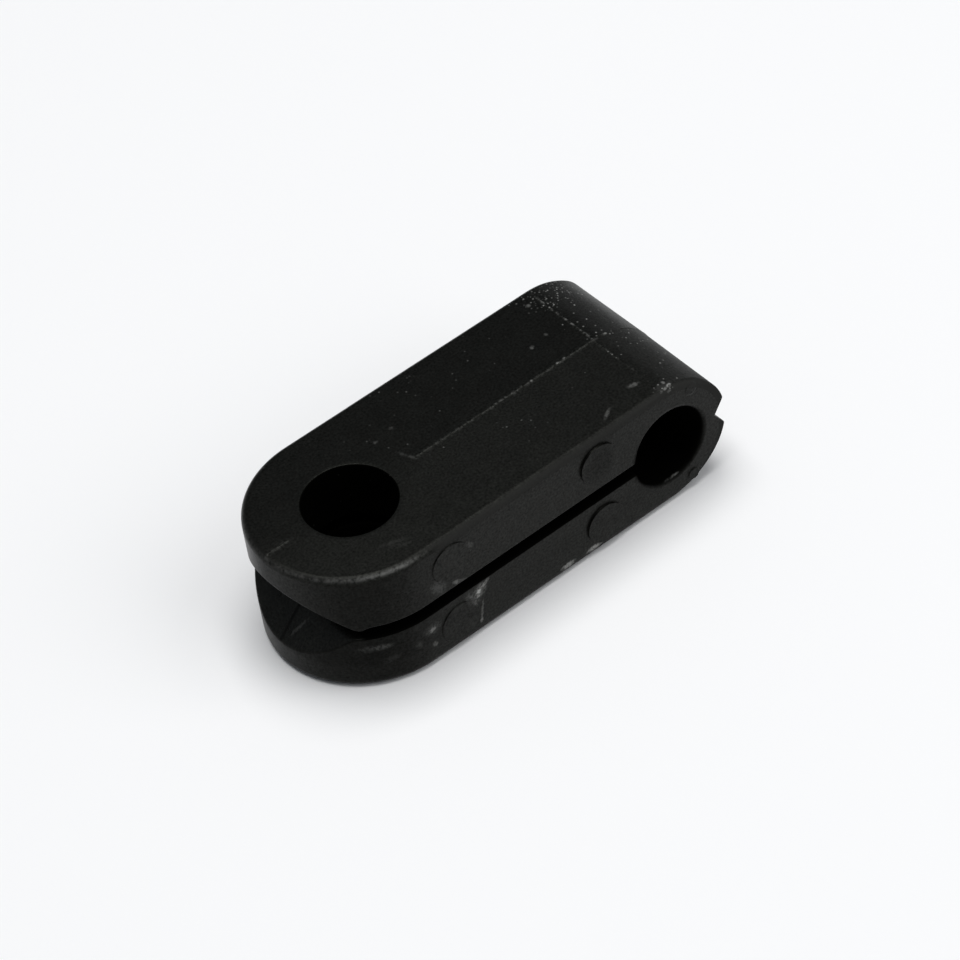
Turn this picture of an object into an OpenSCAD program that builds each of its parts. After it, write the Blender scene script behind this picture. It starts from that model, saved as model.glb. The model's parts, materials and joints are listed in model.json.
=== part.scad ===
// Brake line clip, moulded in one piece.
// Two jaws, joined by a round nose, close on a pipe that lies in a cross bore.
// One bolt through both jaws pulls the slot shut and holds the clip to the chassis.
// The origin is on the bolt axis, on the bottom seating face.
// +X runs from the bolt to the pipe, +Z up along the bolt.

/* [Body] */
// Width across the jaws, also the diameter of the round bolt end
body_width = 12; // [9:0.5:20]
// Distance from the bolt axis to the pipe axis
centre_distance = 17.5; // [14:0.5:40]
// Wall over and under the pipe bore, which sets the height of the clip
pipe_wall = 1.8; // [1.4:0.1:4]
// Radius on the outer edges
edge_round = 0.4; // [0.1:0.05:0.6]

/* [Bolt hole] */
// Diameter of the clearance hole for the bolt
bolt_hole_d = 5.4; // [3:0.1:7]

/* [Pipe bore] */
// Diameter of the bore with the jaws relaxed
pipe_bore_d = 5; // [4.5:0.05:10]
// Radius on the two rims of the bore
bore_rim_round = 0.3; // [0.05:0.05:0.4]

/* [Slot and mouth] */
// Gap between the relaxed jaws
slot_gap = 0.8; // [0.4:0.1:1.6]
// Height of the flared mouth at the jaw tips
mouth_height = 4.8; // [2:0.1:6]
// Length of the flare, in from the jaw tips
mouth_depth = 2; // [0.5:0.1:3]

/* [Nose notch] */
// Depth of the relief notch across the nose, where the clip flexes
notch_depth = 0.8; // [0.2:0.1:1.2]
// Width of the notch at its lips
notch_width = 2; // [0.5:0.1:3]

/* [Ejector marks] */
// Diameter of the four large marks on the jaws' sides
jaw_mark_d = 2.6; // [1:0.1:3]
// Distance of the first pair of large marks from the bolt axis
mark_from_bolt = 2; // [0:0.1:4]
// Distance of the second pair of large marks from the wall of the pipe bore
mark_from_bore = 2.5; // [2:0.1:5]
// Diameter of the two small marks beside the bore
nose_mark_d = 0.8; // [0.5:0.1:1]
// Height of the small marks above the horizontal, seen from the pipe axis, in degrees
nose_mark_angle = 60; // [30:1:75]
// Height of every mark above the side
mark_height = 0.1; // [0.02:0.01:0.2]

/* [Hidden] */
$fn = 96;
nylon_black = "#1e1e1d";
half_width = body_width / 2;
bore_r = pipe_bore_d / 2;
nose_r = bore_r + pipe_wall;
body_height = 2 * nose_r;
mid_height = nose_r;
jaw_mid = (slot_gap / 2 + nose_r) / 2;
jaw_mark_fit = min(jaw_mark_d, nose_r - slot_gap / 2 - 2 * edge_round);
nose_mark_radius = nose_r - edge_round / 2 - nose_mark_d / 2;
// Cutting shapes run this far past the faces that they cut
overrun = 1;

// The clip's cross section, a rectangle with rounded corners
module cross_section(w, h) {
    core_w = w - 2 * edge_round;
    core_h = h - 2 * edge_round;
    square([core_w, h], center = true);
    square([w, core_h], center = true);
    for (side = [-1, 1], level = [-1, 1])
        translate([side * core_w / 2, level * core_h / 2])
            circle(r = edge_round);
}

// The half of the cross section at +X, to be turned into a round end
module half_section(w, h) {
    intersection() {
        cross_section(w, h);
        translate([0, -h])
            square([w, 2 * h]);
    }
}

// Round end about the bolt axis, on the -X side
module bolt_end() {
    translate([0, 0, mid_height])
        rotate([0, 0, 90])
            rotate_extrude(angle = 180)
                half_section(body_width, body_height);
}

// Straight jaws, still solid, from the bolt axis to the pipe axis
module shank() {
    translate([0, 0, mid_height])
        rotate([90, 0, 90])
            linear_extrude(height = centre_distance)
                cross_section(body_width, body_height);
}

// Round nose about the pipe axis, on the +X side
module nose() {
    translate([centre_distance, 0, mid_height])
        rotate([90, 0, 0])
            rotate([0, 0, -90])
                rotate_extrude(angle = 180)
                    half_section(body_height, body_width);
}

// A cut with this outline in the X-Z plane, right across the clip
module cross_cut() {
    rotate([90, 0, 0])
        linear_extrude(height = body_width + 2 * overrun, center = true)
            children();
}

// Pipe bore, flared at both rims by a quarter round
module pipe_bore() {
    flare_r = bore_r + bore_rim_round;
    translate([centre_distance, 0, mid_height])
        rotate([90, 0, 0]) {
            cylinder(r = bore_r, h = body_width + 2 * overrun, center = true);
            for (turn = [0, 180])
                rotate([turn, 0, 0])
                    translate([0, 0, half_width - bore_rim_round])
                        rotate_extrude()
                            difference() {
                                square([flare_r, bore_rim_round]);
                                translate([flare_r, 0])
                                    circle(r = bore_rim_round);
                            }
        }
}

// Slot from the jaw tips into the bore, and the flare at its mouth
module slot_and_mouth() {
    tip = -half_width;
    translate([0, 0, mid_height])
        cross_cut() {
            translate([tip - overrun, -slot_gap / 2])
                square([centre_distance - tip + overrun, slot_gap]);
            polygon([
                [tip + mouth_depth, slot_gap / 2],
                [tip, mouth_height / 2],
                [tip - overrun, mouth_height / 2],
                [tip - overrun, -mouth_height / 2],
                [tip, -mouth_height / 2],
                [tip + mouth_depth, -slot_gap / 2]
            ]);
        }
}

// Relief notch across the nose, at the level of the slot
module nose_notch() {
    apex = nose_r - notch_depth;
    lip = sqrt(pow(nose_r, 2) - pow(notch_width / 2, 2));
    slope = notch_width / 2 / (lip - apex);
    outside = nose_r + overrun;
    reach = slope * (outside - apex);
    translate([centre_distance, 0, mid_height])
        cross_cut()
            polygon([[apex, 0], [outside, reach], [outside, -reach]]);
}

// Low round marks that the ejector pins leave on the -Y side, rooted in the body by the edge radius
module ejector_mark(x, z, d) {
    translate([x, edge_round - half_width, mid_height + z])
        rotate([90, 0, 0])
            cylinder(d = d, h = edge_round + mark_height);
}

module ejector_marks() {
    for (x = [mark_from_bolt, centre_distance - bore_r - mark_from_bore], level = [-1, 1])
        ejector_mark(x, level * jaw_mid, jaw_mark_fit);
    for (level = [-1, 1])
        ejector_mark(
            centre_distance + nose_mark_radius * cos(nose_mark_angle),
            level * nose_mark_radius * sin(nose_mark_angle),
            nose_mark_d
        );
}

module clip_body() {
    color(nylon_black)
        difference() {
            union() {
                bolt_end();
                shank();
                nose();
                ejector_marks();
            }
            translate([0, 0, -overrun])
                cylinder(d = bolt_hole_d, h = body_height + 2 * overrun);
            pipe_bore();
            slot_and_mouth();
            nose_notch();
        }
}

clip_body();
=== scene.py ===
import json

import bmesh
import bpy
import numpy as np
from mathutils import Matrix, Vector


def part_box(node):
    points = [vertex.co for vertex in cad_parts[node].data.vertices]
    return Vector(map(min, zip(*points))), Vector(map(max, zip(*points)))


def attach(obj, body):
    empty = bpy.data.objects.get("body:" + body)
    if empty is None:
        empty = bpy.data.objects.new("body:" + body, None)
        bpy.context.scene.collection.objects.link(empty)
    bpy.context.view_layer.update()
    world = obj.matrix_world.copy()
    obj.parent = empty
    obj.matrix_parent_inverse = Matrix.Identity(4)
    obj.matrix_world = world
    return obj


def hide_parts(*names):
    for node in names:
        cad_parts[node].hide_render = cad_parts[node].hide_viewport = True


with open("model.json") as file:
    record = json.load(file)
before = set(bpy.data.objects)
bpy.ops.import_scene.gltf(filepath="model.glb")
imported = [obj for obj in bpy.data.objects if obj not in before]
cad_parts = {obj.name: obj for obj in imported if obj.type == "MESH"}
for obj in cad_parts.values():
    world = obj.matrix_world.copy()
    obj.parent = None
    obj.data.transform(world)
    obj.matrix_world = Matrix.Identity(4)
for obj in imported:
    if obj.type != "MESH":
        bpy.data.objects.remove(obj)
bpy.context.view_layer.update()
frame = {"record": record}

# Clip body
# One shot of black nylon. The mould parts along the middle of the width, with a core for the pipe bore and
# the slot and a slide for the bolt hole. Nothing is fitted to it: one bolt closes the jaws on the pipe.
mm = 0.001
mounts = {mount["name"]: mount for mount in frame["record"]["mounts"]}
low, high = (np.array(corner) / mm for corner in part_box("clip_body"))
half_width = high[1]
nose_r = (high[2] - low[2]) / 2
mid_z = (high[2] + low[2]) / 2
hole_r = mounts["bolt_hole"]["dims"]["r_mm"]
bore_r = mounts["pipe_bore"]["dims"]["r_mm"]
pipe_x = mounts["pipe_bore"]["pos_m"][0] / mm

# Sizes in millimetres that the frame doesn't give: the gap between the jaws and the flare at its mouth,
slot_half = 0.4
mouth_half = 2.4
mouth_depth = 2.0
mouth_fold = 0.1
fold_bead = 0.2
bead_offset = 0.35
bead_width = 0.3
# the relief notch across the nose,
notch_depth = 0.8
notch_half = 1.0
notch_round = 0.04
# the radii that the mould leaves on the edges, the leans in radians between which they shrink to the
# notch's own radius, and the slope that lets the part out of the mould,
edge_round = 0.4
foot_round = 0.5
notch_edge = 0.1
slot_edge = 0.08
bore_edge = 0.28
hole_edge = 0.08
upper_leans = (0.5, 1.05)
lower_leans = (0.2, np.pi / 2)
draft = np.tan(np.radians(0.4))
ridge_round = 0.15
# the flash on the parting line and across the nose, the places where it stops at the slide, and the step
# between the two halves of the mould,
flash_height = 0.018
flash_width = 0.06
cross_flash_height = 0.02
cross_flash_width = 0.05
slide_start = (-4.3, -3.9)
slide_end = (4.3, 4.9)
half_step = 0.008
# and the marks of the ejector pins: two large ones on each jaw, each in a square of so many cells of the
# wall, and a small one beside the bore, on the upper jaw (1) and on the lower one (-1).
mark_r = 1.3
mark_xs = (2.0, pipe_x - bore_r - 2.5)
mark_z = (slot_half + nose_r) / 2
mark_heights = (0.06, 0.12)
mark_shoulders = (0.03, 0.015)
mark_frame = 1.4
mark_cells = 28
nose_mark_r = 0.4
nose_mark_at = {1: (1.88, 3.22), -1: (1.54, 3.24)}
nose_mark_heights = {1: 0.0168, -1: 0.06}
nose_mark_shoulder = 0.015


def step_up(value, start, end):
    """0 before start, 1 after end, and an S-shaped cubic between them."""
    share = np.clip((value - start) / (end - start), 0, 1)
    return share * share * (3 - 2 * share)


def round_max(a, b, blend):
    """The larger of two values, with a hyperbola in place of the corner where they cross."""
    return (a + b + np.sqrt((a - b) ** 2 + blend ** 2)) / 2


def ridge(distance, width):
    """A bell-shaped ridge, 1 on its line and gone at about two widths from it."""
    return np.exp(-(distance / width) ** 2)


def seam(run, y):
    """Height of the flash on the outside: a broken ridge on y = 0, left out where the slide for the bolt
    hole closes, a ridge across the start of the nose, and a step between the two halves of the mould."""
    broken = np.clip(0.6 + 0.5 * np.sin(6.1 * run) * np.sin(2.3 * run + 1), 0.15, 1)
    beside_slide = step_up(run, *slide_end) + 1 - step_up(run, *slide_start)
    along = flash_height * broken * beside_slide * ridge(y, flash_width) * np.where(run < 0, 0.6, 1)
    across = cross_flash_height * ridge(run - pipe_x, cross_flash_width)
    across = across * step_up(y, -4.5, 0.5) * (1 - step_up(y, 5.3, 5.7))
    return along + across + half_step * np.tanh(y / flash_width) * beside_slide


def notch(lean):
    """Depth cut out of the nose: the polar form of a line through the notch's apex and lip, rounded where
    it meets the nose and at the apex."""
    apex = nose_r - notch_depth
    slope = np.arctan2(notch_half, np.sqrt(nose_r ** 2 - notch_half ** 2) - apex)
    angle = np.hypot(np.pi / 2 - lean, notch_round / nose_r)
    flank = apex * np.sin(slope) / np.sin(np.maximum(slope - angle, 0.05))
    return round_max(nose_r - flank, 0 * lean, notch_round)


def outside(x, y, lean, level):
    """Distance of the outer face from the middle plane of a jaw, or from the pipe axis on the nose: full
    height on the parting line, falling away by the draft, with the flash on it, rubbed off where the clip
    is seated, and the notch cut out of it."""
    fall = draft * (np.hypot(y, ridge_round) - ridge_round)
    flash = np.where(level > 0, 1, step_up(lean, 0.3, 0.6)) * seam(x + nose_r * lean, y)
    return nose_r - fall - notch(lean) + flash


def inside(x, y, level):
    """Distance of the inner face: the slot, its 45 degree flare at the jaw tips, a bead of flash along the
    fold of the upper jaw, and the bore."""
    rise = (mouth_half - slot_half) / mouth_depth
    flare = round_max(rise * (mouth_depth - half_width - x), 0 * x, mouth_fold)
    bore = np.sqrt(np.maximum(bore_r ** 2 - (x - pipe_x) ** 2, 0))
    on_fold = fold_bead * ridge(x - mouth_depth + half_width - bead_offset, bead_width) * (level > 0)
    return np.maximum(slot_half + flare - on_fold, bore)


def outer_edge(lean, level):
    """Radius on the edge of the outer face, larger where the clip is seated and small at the notch."""
    radius, leans = (edge_round, upper_leans) if level > 0 else (foot_round, lower_leans)
    return radius + (notch_edge - radius) * step_up(lean, *leans)


def inner_edge(x):
    """Radius on the edge of the inner face, larger round the bore than along the slot, with an S-shaped
    change at their corner."""
    corner = pipe_x - np.sqrt(bore_r ** 2 - slot_half ** 2)
    return slot_edge + (bore_edge - slot_edge) * step_up(x, corner - 0.1, corner + 0.3)


# Stations along a jaw, from its tip over the bolt end and the straight side to the middle of the nose.
# Each has a place x, a turn from the tip round the bolt end, and a lean from upright round the nose.
near_line = flash_width * np.array([0, 0.6, 1.2, 2, 3.5, 6])
fold_turn = np.arccos(1 - mouth_depth / half_width)
tip_turn = np.concatenate([
    near_line / half_width,
    np.linspace(np.radians(6), fold_turn - 0.02, 17),
    fold_turn + np.array([-0.01, 0, 0.01]),
    np.linspace(fold_turn + 0.02, np.radians(60), 12),
    np.linspace(np.radians(62), np.radians(88), 11),
])
junction_x = 6.5
corner_angle = np.pi - np.arcsin(slot_half / bore_r)
bore_angle = np.linspace(corner_angle - 0.026, np.pi / 2, 26)
straight_x = np.concatenate([
    np.linspace(0, mark_xs[0] - mark_frame, 3)[:-1],
    np.linspace(mark_xs[0] - mark_frame, mark_xs[0] + mark_frame, mark_cells + 1),
    np.linspace(mark_xs[0] + mark_frame, junction_x, 10)[1:],
    np.linspace(junction_x, mark_xs[1] - mark_frame, 14)[1:-1],
    np.linspace(mark_xs[1] - mark_frame, mark_xs[1] + mark_frame, mark_cells + 1),
    np.linspace(mark_xs[1] + mark_frame, pipe_x + bore_r * np.cos(corner_angle) - 0.05, 6)[1:],
    pipe_x + bore_r * np.cos(bore_angle[:-1]),
    pipe_x - near_line[3:0:-1],
    [pipe_x],
])
nose_lean = np.concatenate([
    near_line[1:] / nose_r,
    np.radians(np.linspace(7, 19, 6)),
    np.radians(np.linspace(20, 40, 41)),
    np.radians(np.linspace(42, 72, 12)),
    np.radians(np.linspace(73, 90, 30)),
])
station_x = np.concatenate([0 * tip_turn, np.sort(straight_x), 0 * nose_lean + pipe_x])[:, None]
station_turn = np.concatenate([tip_turn, 0 * straight_x + np.pi / 2, 0 * nose_lean + np.pi / 2])[:, None]
station_lean = np.concatenate([0 * tip_turn, 0 * straight_x, nose_lean])[:, None]
junction = int(np.argmin(np.abs(station_x[:, 0] - junction_x)))
face_edge = half_width - edge_round
columns = np.concatenate([near_line, np.linspace(0.7, face_edge - 0.06, 9), [face_edge]])


def plan(stations, inset):
    """Place of a station on the jaw's outline, seen from above, moved inwards by an inset."""
    radius = half_width - inset
    x = station_x[stations] - radius * np.cos(station_turn[stations])
    return x, radius * np.sin(station_turn[stations])


def lift(x, y, lean, distance):
    """Point at a distance from the middle plane, or from the pipe axis where the station leans."""
    return np.stack(np.broadcast_arrays(x + distance * np.sin(lean), y, distance * np.cos(lean)), axis=-1)


quarter_turn = np.linspace(0, np.pi / 2, 10)
rim_turn = np.linspace(0, np.pi / 2, 5)


def side_wall(side, level):
    """A wall profile carried along the stations: outer edge round, flat side, inner edge round. The profile
    steps out where the small ejector mark is."""
    everywhere = slice(None)
    edge = outer_edge(station_lean, level)
    outer_in = edge * (1 - np.sin(quarter_turn))
    x, y = plan(everywhere, outer_in)
    outer = outside(x, side * y, station_lean, level) - edge * (1 - np.cos(quarter_turn))
    x, y = plan(everywhere, 0)
    edge = inner_edge(x)
    inner_in = edge * (1 - np.cos(rim_turn))
    x, y = plan(everywhere, inner_in)
    inner = inside(x, side * y, level) + edge * (1 - np.sin(rim_turn))
    wall_top = outer[:, -1:]
    wall_low = inner[:, :1]
    marked_top = nose_r - draft * (half_width - ridge_round) - foot_round
    marked_height = marked_top - slot_half - slot_edge
    marked_rows = marked_top - mark_z - mark_frame * np.linspace(1, -1, mark_cells + 1)
    rows = np.append(marked_rows / marked_height, 0.97)
    wall = wall_top + (wall_low - wall_top) * rows
    distance = np.hstack([outer, wall, inner])
    inset = np.hstack([0 * outer + outer_in, 0 * wall, inner_in])
    x, y = plan(everywhere, inset)
    point = lift(x, y, station_lean, distance)
    mark_x, mark_up = nose_mark_at[level]
    reach = np.hypot(point[..., 0] - pipe_x - mark_x, point[..., 2] - mark_up)
    off_mark = step_up(reach, nose_mark_r - nose_mark_shoulder, nose_mark_r + nose_mark_shoulder)
    marked = (1 - off_mark) * (side < 0)
    x, y = plan(everywhere, inset * (1 - marked) - nose_mark_heights[level] * marked)
    return lift(x, y, station_lean, distance)


def face_strip(side, level, outer):
    """Outer or inner face from the junction with the bolt end to the middle of the nose: columns across the
    half width, carried along the stations."""
    x, lean = station_x[junction:], station_lean[junction:]
    edge = outer_edge(lean, level) if outer else inner_edge(x)
    y = columns * (half_width - edge) / face_edge
    return lift(x, y, lean, outside(x, side * y, lean, level) if outer else inside(x, side * y, level))


def bolt_eye(side, level):
    """Jaw round the bolt hole: each ray runs from the outline over the outer face to the hole, down the
    wall of the hole with a small radius at both rims, and back over the inner face to the outline."""
    round_end = slice(junction - 1, None, -1)
    outer_x, outer_y = plan(round_end, outer_edge(0, level))
    inner_x, inner_y = plan(round_end, inner_edge(plan(round_end, 0)[0]))
    across = columns / columns[-1]
    edge_x = 0 * across + junction_x
    outer_node = np.vstack([np.c_[edge_x, across * outer_y[0]], np.hstack([outer_x, outer_y])])
    inner_node = np.vstack([np.c_[edge_x, across * inner_y[0]], np.hstack([inner_x, inner_y])])
    heading = np.arctan2(outer_node[:, 1], outer_node[:, 0])[:, None]
    towards = np.concatenate([[1, 0.985], np.linspace(0.94, 0.06, 12), [0]])
    rim = hole_r + hole_edge

    def rays(node, share):
        """Straight lines from the hole's rim to the outline, at a share of their length."""
        x = rim * np.cos(heading) * (1 - share) + node[:, :1] * share
        return x, rim * np.sin(heading) * (1 - share) + node[:, 1:] * share

    x, y = rays(outer_node, towards)
    top = lift(x, y, 0, outside(x, side * y, 0 * x, level))
    roof = top[:, -1:, 2]
    x, y = rays(inner_node, towards[::-1])
    under = lift(x, y, 0, inside(x, side * y, level))
    ceiling = under[:, :1, 2]
    flare = np.concatenate([1 - np.sin(rim_turn[1:]), np.zeros(9), 1 - np.cos(rim_turn[:-1])])
    sleeve_r = hole_r + hole_edge * flare
    upper = roof - hole_edge * (1 - np.cos(rim_turn[1:]))
    lower = ceiling + hole_edge * (1 - np.sin(rim_turn[:-1]))
    wall = upper[:, -1:] + (lower[:, :1] - upper[:, -1:]) * np.linspace(0, 1, 11)[1:-1]
    sleeve_z = np.hstack([upper, wall, lower])
    sleeve = lift(sleeve_r * np.cos(heading), sleeve_r * np.sin(heading), 0, sleeve_z)
    return np.concatenate([top, sleeve, under], axis=1)


def ejector_mark(border, x, height, shoulder):
    """A low round pad in a square of the side wall: rings that change from the square's border to the
    mark's circle, rise over its shoulder and close at its middle."""
    heading = np.arctan2(border[:, 2] - mark_z, border[:, 0] - x)[:, None]
    over_shoulder = shoulder * np.array([0.8, 0.5, 0.3, -0.3, -0.5, -0.8])
    ring = mark_r + np.array([0.05, *over_shoulder, -0.7, -mark_r])
    rise = height * np.array([0, 0, 0, 0.1, 0.9, 1, 1, 1, 1])
    ring_x = x + ring * np.cos(heading)
    ring_z = mark_z + ring * np.sin(heading)
    rings = lift(ring_x, half_width + rise + 0 * heading, 0, ring_z)
    return np.concatenate([border[:, None], rings], axis=1)


def marked_station(x):
    """First station of the square of wall cells that an ejector mark takes: the one on the straight side
    that is nearest to the square's start."""
    off = np.abs(station_x[:, 0] - (x - mark_frame)) + (station_turn[:, 0] < np.pi / 2)
    return int(np.argmin(off))


points, quads = [], []


def add_grid(grid, side, level, cells=True):
    """Keep a grid of points, mirrored to its side and level, and a quad for each of its cells that is
    wanted."""
    start = sum(len(kept) for kept in points)
    index = start + np.arange(grid.shape[0] * grid.shape[1]).reshape(grid.shape[:2])
    quad = np.stack([index[:-1, :-1], index[1:, :-1], index[1:, 1:], index[:-1, 1:]], axis=-1)
    points.append((grid * np.array([1, side, level])).reshape(-1, 3))
    quads.append(quad[np.broadcast_to(cells, quad.shape[:2])])


first_row = len(quarter_turn)
last_row = first_row + mark_cells
for side in (-1, 1):
    for level in (-1, 1):
        wall = side_wall(side, level)
        cells = np.ones((wall.shape[0] - 1, wall.shape[1] - 1), bool)
        marks = zip(mark_xs, mark_heights, mark_shoulders) if side < 0 else ()
        for x, height, shoulder in marks:
            first = marked_station(x)
            last = first + mark_cells
            cells[first:last, first_row:last_row] = False
            border = np.concatenate([
                wall[first:last, first_row],
                wall[last, first_row:last_row],
                wall[last:first:-1, last_row],
                wall[first, last_row:first_row:-1],
                wall[first:first + 1, first_row],
            ])
            add_grid(ejector_mark(border, x, height, shoulder), side, level)
        add_grid(wall, side, level, cells)
        add_grid(face_strip(side, level, True), side, level)
        add_grid(face_strip(side, level, False), side, level)
        add_grid(bolt_eye(side, level), side, level)

mesh = bpy.data.meshes.new("clip")
corners = (np.concatenate(points) + np.array([0, 0, mid_z])) * mm
mesh.from_pydata(corners, [], np.concatenate(quads).tolist())
merge_distance = 0.002 * mm
sliver_length = 0.001 * mm
shell = bmesh.new()
shell.from_mesh(mesh)
bmesh.ops.remove_doubles(shell, verts=shell.verts, dist=merge_distance)
bmesh.ops.dissolve_degenerate(shell, edges=shell.edges, dist=sliver_length)
bmesh.ops.recalc_face_normals(shell, faces=shell.faces)
shell.to_mesh(mesh)
shell.free()
mesh.shade_smooth()
clip = bpy.data.objects.new("clip", mesh)
bpy.context.scene.collection.objects.link(clip)
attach(clip, "root")
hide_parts("clip_body")

# What the shader needs to know about each point, as values stored on the mesh. Places and widths are in
# millimetres: below is the depth under the outer face, and inset the distance from the outline.
flat_points = np.empty(3 * len(mesh.vertices))
mesh.vertices.foreach_get("co", flat_points)
x, y, z = (flat_points.reshape(-1, 3) / mm - [0, 0, mid_z]).T
past_pipe = np.maximum(x - pipe_x, 0)
below = nose_r - draft * np.abs(y) - np.hypot(past_pipe, z)
inset = half_width - np.hypot(np.minimum(x, 0), y)
# Flash lies along the parting line, strongest near the pipe, and across the start of the nose.
# Its pale beads are partly a painted glint.
beside_slide = step_up(x, 4.4, 4.7) + 1 - step_up(x, -4.3, -4.0)
near_pipe = 0.7 * ridge(x - 11.3, 1.3) + 0.3 * ridge(x - 15.5, 0.7)
along = ridge(y + 0.04, np.where(x < 0, 2.6, 1.7) * flash_width) * (1 - step_up(below, 0.02, 0.08))
along = along * beside_slide * (0.3 + 0.12 * step_up(x, -4, 4) + near_pipe)
across = ridge(x - pipe_x, flash_width) * (0.3 + 1.6 * step_up(y, -0.2, 0.2)) * (1 - step_up(y, 5.0, 5.5))
across = across * (1 - step_up(below, 0.05, 0.1)) * step_up(y, -4.2, -3.8)
# The outer edges have less gloss and a paler colour: painted light for the even tone between top and side.
# The rim round the bolt end is worn pale, with a painted highlight along it.
past_bolt = step_up(x, 0, 2)
on_edge = (1 - step_up(inset, 0.15, 0.5)) * (1 - step_up(below, 0.3, 0.5))
on_edge = on_edge * (0.72 + (0.5 * step_up(below, 0, 0.3) - 0.12) * past_bolt)
on_edge = on_edge * (1 + 0.25 * step_up(x, 13, 16)) * (1 - 0.25 * step_up(y, -3, 0) * (x < 0))
on_edge = on_edge * (1 - step_up(below, 0.05, 0.2) * (1 - past_bolt))
# The worn pale rim round the bolt end, partly a painted highlight where the edge catches the light.
worn_rim_and_highlight = ridge(np.hypot(inset - 0.13, below - 0.09), 0.12) * (1 - step_up(x, 0.5, 2.0))
worn_rim_and_highlight = worn_rim_and_highlight * (0.22 + 0.78 * ridge(x + 1, np.where(x < -1, 3.6, 1.0)) * (y < 0))
# The hole, the bore and the slot, and not the flare, get a matt face: painted shade that keeps them black.
in_hole = 1 - step_up(np.hypot(x, y), hole_r + 0.03, hole_r + 0.09)
in_bore = 1 - step_up(np.hypot(x - pipe_x, z), bore_r + 0.02, bore_r + bore_edge)
within = step_up(below, 0.5, 1) * np.maximum(step_up(inset, 0.02, 0.06), z < 0) * (x < pipe_x)
on_ramp = step_up(below, 0.5, 1) * step_up(inset, 0.0, 0.05) * (x < 0)
# Less gloss on the side walls, the jaw tips and the foot, painted shade, and on one ejector mark.
# The nose has a painted sheen, more at the far side and less at the near one.
on_wall = step_up(below, 0.17, 0.42) * (1 - step_up(inset, 0.02, 0.1))
at_foot = step_up(-z, nose_r - 0.3, nose_r - 0.1) * (1 - step_up(inset, 0.3, 0.5))
on_tip = (1 - step_up(x, -3, 2)) * on_wall
end_places = [-6, -5.93, -5.65, -5.2, -4.2]
end_dullness = [0.63, 0.46, 0.3, 0.35, 0.46]
upper_end = np.interp(x, end_places, end_dullness) * (1 - step_up(y, 1.0, 2.6))
lower_end = 0.43 - 0.1 * (1 - step_up(x, -5.95, -5.2))
lower_end = lower_end + (0.25 - 0.13 * step_up(x, -5.7, -5.5)) * step_up(z, -2.8, -2.4)
at_end = np.where(z > 0, upper_end, lower_end)
on_pad = step_up(mark_r - np.hypot(x - mark_xs[1], z - mark_z), 0, 0.05) * (y < 0.02 - half_width)
sheen = step_up(x, pipe_x + 2.0, pipe_x + 3.2) * (1 - step_up(below, 0.3, 0.5))
sheen = 1 + sheen * (2 * step_up(y, -3, 4) - 0.4 * step_up(-y, 3.5, 5))
kept_gloss = (1 - 0.37 * on_wall * (1 - step_up(-z, 1.8, 4.6))) * (1 - on_tip * at_end)
kept_gloss = kept_gloss * (1 - 0.5 * at_foot) * (1 - 0.36 * on_pad) * sheen
features = {
    "flash": np.maximum(along, across),
    "edge": on_edge,
    "rim": worn_rim_and_highlight,
    "ramp": on_ramp,
    "core": np.maximum(in_hole, in_bore),
    "slot": within,
    "dull": 1 - kept_gloss,
    "nose": step_up(x, pipe_x - 0.5, pipe_x + 2.2) * (1 - step_up(below, 0.3, 0.5)),
}
for name, value in features.items():
    mesh.attributes.new(name, "FLOAT", "POINT").data.foreach_set("value", value)


def linear(hex_colour):
    """Linear red, green, blue and alpha of an sRGB hex colour: a straight line near black, and a power of
    2.4 above it."""
    srgb = np.array([int(hex_colour[i:i + 2], 16) for i in (1, 3, 5)]) / 255
    return (*np.where(srgb <= 0.04045, srgb / 12.92, ((srgb + 0.055) / 1.055) ** 2.4).tolist(), 1)


# Black nylon as it leaves the mould: a dark, even satin with a fine grain, pale where it is scuffed or dusty.
# Its colour and gloss also carry painted light, shade, glints and sheen.
nylon_black = "#050504"
scuffed_grey = "#cacac6"
gloss_tint = "#fcfff3"
nylon_ior = 1.53
nylon = bpy.data.materials.new("black moulded nylon, scuffed, with painted light")
nylon.use_nodes = True
tree = nylon.node_tree


def add(kind, inputs=(), **settings):
    """Add a node with its settings, fill its inputs, in turn or by name, with values or links, and give its
    outputs."""
    node = tree.nodes.new("ShaderNode" + kind)
    for name, value in settings.items():
        setattr(node, name, value)
    for socket, value in inputs.items() if isinstance(inputs, dict) else enumerate(inputs):
        if isinstance(value, bpy.types.NodeSocket):
            tree.links.new(value, node.inputs[socket])
        else:
            node.inputs[socket].default_value = value
    return node.outputs


place = add("TexCoord")["Object"]
in_mm = add("Mapping", {"Vector": place, "Scale": (1 / mm,) * 3, "Location": (0, 0, -mid_z)})[0]
sides = add("SeparateXYZ", [in_mm])
on = {name: add("Attribute", attribute_name=name)["Fac"] for name in features}

# Widths in millimetres of what makes the surface uneven, each with its octaves of finer detail. The mould's
# own grain is too fine to show in the render, so it is drawn a seventh of a millimetre wide.
patterns = {
    "crumbs": (1 / 6, 4),
    "clots": (2 / 7, 2),
    "grain": (1 / 7, 2),
    "blotches": (2 / 3, 3),
    "waves": (5 / 4, 3),
}
grain_depth = 0.004
dust_spacing = 2 / 11
uneven = {}
for name, (width, octaves) in patterns.items():
    pattern = {"Vector": in_mm, "Scale": 1 / width, "Detail": octaves, "Roughness": 0.6}
    uneven[name] = add("TexNoise", pattern)[0]


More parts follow.
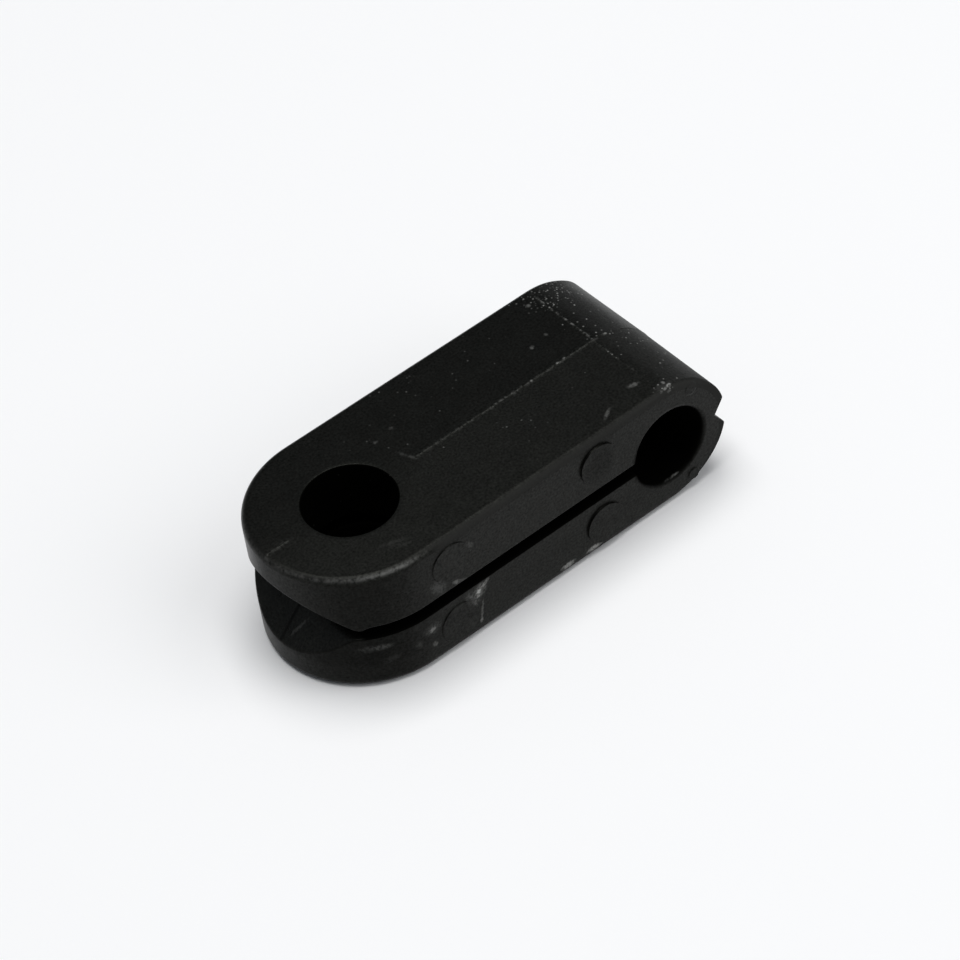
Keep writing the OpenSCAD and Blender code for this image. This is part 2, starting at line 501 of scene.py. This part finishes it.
def patches(strokes, rag):
    """The strongest of several soft ellipsoids with ragged borders: each has two ends in mm, a half width
    and a strength."""
    total = 0.0
    for start, end, width, strength in strokes:
        run = Vector(end) - Vector(start)
        middle = (Vector(start) + Vector(end)) / 2
        reach = 1.25 * width
        stretch = (run.length / 2 + reach, reach, reach)
        turn = run.to_track_quat("X", "Z").to_euler()
        spot = {"Vector": in_mm, "Location": middle, "Rotation": turn, "Scale": stretch}
        local = add("Mapping", spot, vector_type="TEXTURE")[0]
        ball = add("TexGradient", [local], gradient_type="SPHERICAL")[1]
        ragged = add("Math", [ball, rag], operation="MULTIPLY")[0]
        patch = add("MapRange", [ragged, 0.05, 0.9, 0.0, strength], interpolation_type="SMOOTHSTEP")[0]
        total = add("Math", [total, patch], operation="MAXIMUM")[0]
    return total


# Scuffs and larger specks on the front side, the tips, the nose and the top, painted glints on the bore's rim
# and on beads of flash, and the areas where dust lies, whose strength is the share of cells that hold a
# grain.
front = -half_width
top = nose_r
scuffs_and_glints = [
    ((3.3, front, -1.3), (3.65, front, -0.95), 0.5, 0.13),
    ((3.42, front, -1.15), (3.5, front, -1.0), 0.2, 0.6),
    ((3.37, front, -1.45), (3.4, front, -1.35), 0.16, 0.35),
    ((3.5, front, -1.05), (4.2, front, -0.6), 0.16, 0.28),
    ((3.2, front, -0.85), (3.85, front, -0.65), 0.16, 0.12),
    ((2.75, front, -0.95), (3.25, front, -1.7), 0.45, 0.07),
    ((3.05, front, -1.6), (3.15, front, -1.75), 0.16, 0.16),
    ((2.87, front, -1.07), (2.95, front, -1.15), 0.16, 0.12),
    ((3.7, front, -1.7), (3.34, front, -3.5), 0.11, 0.11),
    ((3.38, front, -3.25), (3.34, front, -3.45), 0.13, 0.22),
    ((-0.2, front, -1.55), (0.45, front, -1.55), 0.45, 0.05),
    ((0.05, front, -1.65), (0.2, front, -1.55), 0.22, 0.22),
    ((0.1, front, -2.7), (0.18, front, -2.82), 0.2, 0.12),
    ((-0.9, -5.94, -2.05), (-0.8, -5.95, -2.2), 0.25, 0.04),
    ((1.95, front, 0.8), (2.3, front, 0.62), 0.18, 0.16),
    ((2.2, front, 0.68), (2.8, front, 0.42), 0.16, 0.05),
    ((0.75, front, 1.4), (1.1, front, 0.9), 0.5, 0.06),
    ((3.15, front, 2.95), (3.5, front, 2.55), 0.2, 0.06),
    ((9.2, front, -3.72), (10.0, front, -3.69), 0.25, 0.4),
    ((11.05, front, -3.72), (12.0, front, -3.69), 0.22, 0.45),
    # The line of flash on the lower flare, partly a painted glint.
    ((-5.7, -0.4, -2.1), (-4.38, -1.07, -0.78), 0.13, 0.08),
    ((-4.1, -4.45, -1.28), (-2.26, -5.6, -1.23), 0.3, 0.035),
    ((-3.5, -4.95, -1.27), (-2.26, -5.6, -1.23), 0.25, 0.07),
    ((-2.76, -5.4, -2.41), (-2.12, -5.65, -2.28), 0.35, 0.02),
    # Painted glints on the lower rim of the bore.
    ((16.9, -5.88, -2.55), (17.6, -5.86, -2.6), 0.1, 0.06),
    ((17.4, -5.85, -2.6), (18.1, -5.85, -2.53), 0.1, 0.16),
    ((17.5, front + 0.4, top), (18.4, front + 0.4, top - 0.15), 0.45, 0.03),
    ((17.96, -5.3, top - 0.1), (18.02, -5.38, top - 0.1), 0.13, 0.2),
    ((18.02, -5.72, top - 0.13), (18.16, -5.66, top - 0.13), 0.15, 0.4),
    ((17.7, -5.8, top - 0.12), (17.86, -5.72, top - 0.12), 0.11, 0.22),
    ((17.86, -5.95, top - 0.25), (17.92, -5.95, top - 0.25), 0.16, 0.12),
    ((17.4, -5.82, top - 0.12), (17.55, -5.8, top - 0.12), 0.12, 0.1),
    ((18.5, -5.7, top - 0.2), (19.1, -5.75, top - 0.4), 0.4, 0.02),
    ((16.35, -4.25, top), (17.0, -4.4, top), 0.18, 0.11),
    ((13.75, -5.28, top), (14.65, -4.72, top), 0.14, 0.09),
    ((-1.3, -3.8, top), (0.7, -4.5, top), 0.2, 0.015),
    ((-0.9, -4.3, top), (0.7, -4.9, top), 0.2, 0.012),
    ((4.15, 0.9, top), (4.35, 0.35, top), 0.14, 0.03),
    ((4.35, 0.35, top), (4.62, -0.2, top), 0.14, 0.045),
    # Painted glints on beads of flash along the parting line and over the nose.
    ((14.85, 0.01, top), (14.89, 0.01, top), 0.09, 0.25),
    ((15.34, 0.03, top), (15.38, 0.03, top), 0.09, 0.2),
    ((12.9, -0.04, top), (12.94, -0.04, top), 0.09, 0.2),
    ((18.2, 0.0, top - 0.06), (18.5, -0.08, top - 0.1), 0.08, 0.2),
    ((14.65, 1.98, top), (14.7, 2.0, top), 0.16, 0.1),
    ((15.88, 2.25, top), (15.92, 2.25, top), 0.15, 0.07),
    ((3.73, 2.45, top), (3.77, 2.45, top), 0.15, 0.06),
    ((5.03, 2.7, top), (5.07, 2.7, top), 0.15, 0.05),
    ((16.73, 4.8, top), (16.77, 4.8, top), 0.16, 0.12),
]
dusty = [
    ((-2, 3.5, top), (17, 3.5, top), 5.0, 0.05),
    ((6, -2.5, top), (18, -2.5, top), 3.0, 0.03),
    ((17.5, 5.4, top), (18.8, 4.8, top - 0.3), 1.9, 1.2),
    ((19.0, -4.5, top - 0.4), (19.0, 4.5, top - 0.4), 2.3, 0.25),
    ((17.7, front + 0.5, top), (18.2, front + 0.5, top - 0.1), 0.9, 0.6),
]
rag = add("Math", [uneven["crumbs"], 4.0, -1.0], operation="MULTIPLY_ADD")[0]

# Dust: one grain to a cell, drawn by lot where dust lies, of uneven strength, and paler towards the nose.
dust_pale = (0.12, 0.42)
cell = add("TexVoronoi", {"Vector": in_mm, "Scale": 1 / dust_spacing})
lot = add("SeparateColor", [cell["Color"]])
dust = add("MapRange", [cell["Distance"], 0.46, 0.08], interpolation_type="SMOOTHSTEP")[0]
dust_shares = [
    add("Math", [lot[0], patches(dusty, 1.0)], operation="LESS_THAN")[0],
    add("Math", [lot[1], 2.0], operation="POWER")[0],
    add("MapRange", [sides["X"], 15.5, 17.5, *dust_pale], interpolation_type="SMOOTHSTEP")[0],
]
for share in dust_shares:
    dust = add("Math", [dust, share], operation="MULTIPLY")[0]

# Colour: the palest of the scuffs and painted glints, the dust, the beads of flash, partly a painted glint,
# the edges with painted light, the worn rim with a painted highlight, painted sheen on the nose,
# and painted light on the flare.
flash_pale_and_glint = 0.1
rim_wear_and_highlight_pale = 0.19
edge_painted_light = 0.035
# Painted sheen on the nose.
nose_painted_sheen = 0.012
# Painted light on the flare, which keeps it lit up to the fold.
ramp_painted_light = 0.006
ramp_end = (-3.7, -3.4)
ramp_part = add("MapRange", [sides["X"], *reversed(ramp_end)], interpolation_type="SMOOTHSTEP")[0]
ramp = add("Math", [on["ramp"], ramp_part], operation="MULTIPLY")[0]
clots = uneven["clots"]
flash_beads_and_glint = add("MapRange", [clots, 0.42, 0.74, 0.0, flash_pale_and_glint], interpolation_type="SMOOTHSTEP")[0]
rim_beads = add("MapRange", [clots, 0.2, 0.65, 0.0, rim_wear_and_highlight_pale], interpolation_type="SMOOTHSTEP")[0]
pale_layers = [
    add("Math", [on["flash"], flash_beads_and_glint], operation="MULTIPLY")[0],
    dust,
    # Paler outer edges: painted light.
    add("MapRange", [on["edge"], 0.1, 1.0, 0.0, edge_painted_light], interpolation_type="SMOOTHSTEP")[0],
    add("Math", [on["rim"], rim_beads], operation="MULTIPLY")[0],
    add("MapRange", [on["nose"], 0.05, 0.6, 0.0, nose_painted_sheen], interpolation_type="SMOOTHSTEP")[0],
    add("Math", [ramp, ramp_painted_light], operation="MULTIPLY")[0],
]
pale = patches(scuffs_and_glints, rag)
for layer in pale_layers:
    pale = add("Math", [pale, layer], operation="MAXIMUM")[0]
colours = {0: pale, 6: linear(nylon_black), 7: linear(scuffed_grey)}
colour = add("Mix", colours, data_type="RGBA")[2]

# Gloss: none in the hole, the bore and the slot, painted shade; less on the outer edges, part of the painted
# light there; less on the walls, tips and foot, painted shade, and on one ejector mark; more on the far side
# of the nose and less on the near one, painted sheen; more on the flare apart from a strip down its middle, a
# painted shadow beside the flash; and uneven with the grain and in blotches.
edge_loss = 0.85
ramp_gain = 0.4
flash_shadow_loss = 0.6
grain_gloss = (0.417, -0.035)
blotch_gloss = (0.6, 0.7)
lip_heights = [sides["Z"], 0.0, 0.1, slot_half + 0.09, slot_half + 0.01]
slot_lip = add("MapRange", lip_heights, interpolation_type="SMOOTHSTEP")[0]
off_middle = add("Math", [sides["Z"]], operation="ABSOLUTE")[0]
between_lips = add("Math", [off_middle, slot_lip], operation="LESS_THAN")[0]
past_ramp = add("MapRange", [sides["X"], *ramp_end], interpolation_type="SMOOTHSTEP")[0]
slot = add("Math", [on["slot"], between_lips], operation="MULTIPLY")[0]
slot = add("Math", [slot, past_ramp], operation="MULTIPLY")[0]
core = add("Math", [slot, on["core"]], operation="MAXIMUM")[0]
# Less gloss on the outer edges, part of the painted light there.
edge_gloss_cut = add("Math", [on["edge"], edge_loss], operation="MINIMUM")[0]
off_line = add("Math", [sides["Y"]], operation="ABSOLUTE")[0]
# A painted shadow beside the flash, down the middle of the flare.
flash_shadow = add("MapRange", [off_line, 0.16, 0.04, 0.0, -flash_shadow_loss], interpolation_type="SMOOTHSTEP")[0]
gloss = add("Math", [1.0, core], operation="SUBTRACT")[0]
gloss_shares = [
    add("Math", [1.0, on["dull"]], operation="SUBTRACT")[0],
    add("Math", [1.0, edge_gloss_cut], operation="SUBTRACT")[0],
    add("Math", [ramp, ramp_gain, 1.0], operation="MULTIPLY_ADD")[0],
    add("Math", [ramp, flash_shadow, 1.0], operation="MULTIPLY_ADD")[0],
    add("Math", [uneven["grain"], *grain_gloss], operation="MULTIPLY_ADD")[0],
    add("Math", [uneven["blotches"], *blotch_gloss], operation="MULTIPLY_ADD")[0],
]
for share in gloss_shares:
    gloss = add("Math", [gloss, share], operation="MULTIPLY")[0]

# Roughness: a rougher front half, with a border that is sharp past the bolt hole and soft before it, in slow
# waves, smoother on the flare and rougher on the nose.
half_rough = (0.28, 0.35)
wave_rough = 0.1
ramp_rough = -0.08
nose_rough = 0.17
blur = add("MapRange", [sides["X"], 5.0, 3.5, 0.05, 2.55], interpolation_type="SMOOTHSTEP")[0]
far_blur = add("Math", [blur, -1.0], operation="MULTIPLY")[0]
rough = add("MapRange", [sides["Y"], blur, far_blur, *half_rough], interpolation_type="SMOOTHSTEP")[0]
rough = add("Math", [uneven["waves"], wave_rough, rough], operation="MULTIPLY_ADD")[0]
rough = add("Math", [ramp, ramp_rough, rough], operation="MULTIPLY_ADD")[0]
rough = add("Math", [on["nose"], nose_rough, rough], operation="MULTIPLY_ADD")[0]
grain = {"Height": uneven["grain"], "Distance": grain_depth * mm, "Strength": 0.3}
bump = add("Bump", grain)[0]
surface = tree.nodes["Principled BSDF"]
surface.inputs["IOR"].default_value = nylon_ior
surface.inputs["Specular Tint"].default_value = linear(gloss_tint)
looks = {"Base Color": colour, "Roughness": rough, "Specular IOR Level": gloss, "Normal": bump}
for socket, value in looks.items():
    tree.links.new(value, surface.inputs[socket])
mesh.materials.append(nylon)

# Floor
# A plain sheet of white paper that the clip stands on, much larger than the view. It is uncoated, so it is
# matt and without gloss, and it keeps the clip's shadow.
reach = 1.5
paper_white = "#fafafa"
paper_roughness = 0.9
floor_corners = [(-reach, -reach, 0), (reach, -reach, 0), (reach, reach, 0), (-reach, reach, 0)]
floor_mesh = bpy.data.meshes.new("floor")
floor_mesh.from_pydata(floor_corners, [], [(0, 1, 2, 3)])
floor = bpy.data.objects.new("floor", floor_mesh)
bpy.context.scene.collection.objects.link(floor)
paper = bpy.data.materials.new("white paper")
paper.use_nodes = True
paper_surface = paper.node_tree.nodes["Principled BSDF"]
paper_surface.inputs["Base Color"].default_value = linear(paper_white)
paper_surface.inputs["Roughness"].default_value = paper_roughness
paper_surface.inputs["Specular IOR Level"].default_value = 0.0
floor_mesh.materials.append(paper)

# Light
# A dim room, a large soft box overhead, a little behind the clip, and a weaker soft box in front of it.
# Together they light the clip at a plain level, at which a colour renders about as it is written.
room_white = "#eef5ff"
room_strength = 0.154
world = bpy.data.worlds.new("room")
bpy.context.scene.world = world
world.use_nodes = True
world.node_tree.nodes["Background"].inputs["Color"].default_value = linear(room_white)
world.node_tree.nodes["Background"].inputs["Strength"].default_value = room_strength
aim = Vector((0.009, 0, 0.004))
lamp_distance = 0.6
# The direction towards each soft box, its width in metres and its power in watts
soft_boxes = {
    "overhead soft box": ((0.02, 0.07, 1), 0.4, 2.85),
    "front fill": ((0.39, -0.62, 0.66), 0.5, 1.15),
}
for name, (direction, width, power) in soft_boxes.items():
    towards = Vector(direction).normalized()
    lamp = bpy.data.lights.new(name, "AREA")
    lamp.size = width
    lamp.energy = power
    box = bpy.data.objects.new(name, lamp)
    box.location = aim + lamp_distance * towards
    box.rotation_euler = (-towards).to_track_quat("-Z", "Y").to_euler()
    bpy.context.scene.collection.objects.link(box)

# Camera
# Fitted to the photograph: the direction towards the camera, its roll and distance, the place of the clip
# in the frame, and the focal length in pixels.
view_azimuth, view_elevation, view_roll = np.radians([-33.295, 45.269, -8.705])
view_distance = 205.16 * mm
aim_at = np.array([9, 0, mid_z]) * mm
aim_offset = np.array([0.281, 0.535]) * mm
frame_px = 960
focal_px = 3662.5
away = np.array([
    np.sin(view_azimuth) * np.cos(view_elevation),
    -np.cos(view_azimuth) * np.cos(view_elevation),
    np.sin(view_elevation),
])
level_right = np.array([np.cos(view_azimuth), np.sin(view_azimuth), 0])
level_up = np.cross(away, level_right)
right = np.cos(view_roll) * level_right + np.sin(view_roll) * level_up
up = np.cross(away, right)
eye = aim_at - aim_offset[0] * right - aim_offset[1] * up + view_distance * away
lens = bpy.data.cameras.new("camera")
lens.sensor_width = 36
lens.lens = focal_px / frame_px * lens.sensor_width
lens.clip_start = 0.01
camera = bpy.data.objects.new("camera", lens)
rows = [[*row, offset] for row, offset in zip(np.c_[right, up, away], eye)]
camera.matrix_world = Matrix([*rows, [0, 0, 0, 1]])
bpy.context.scene.collection.objects.link(camera)
bpy.context.scene.camera = camera
bpy.context.scene.view_settings.view_transform = "Standard"
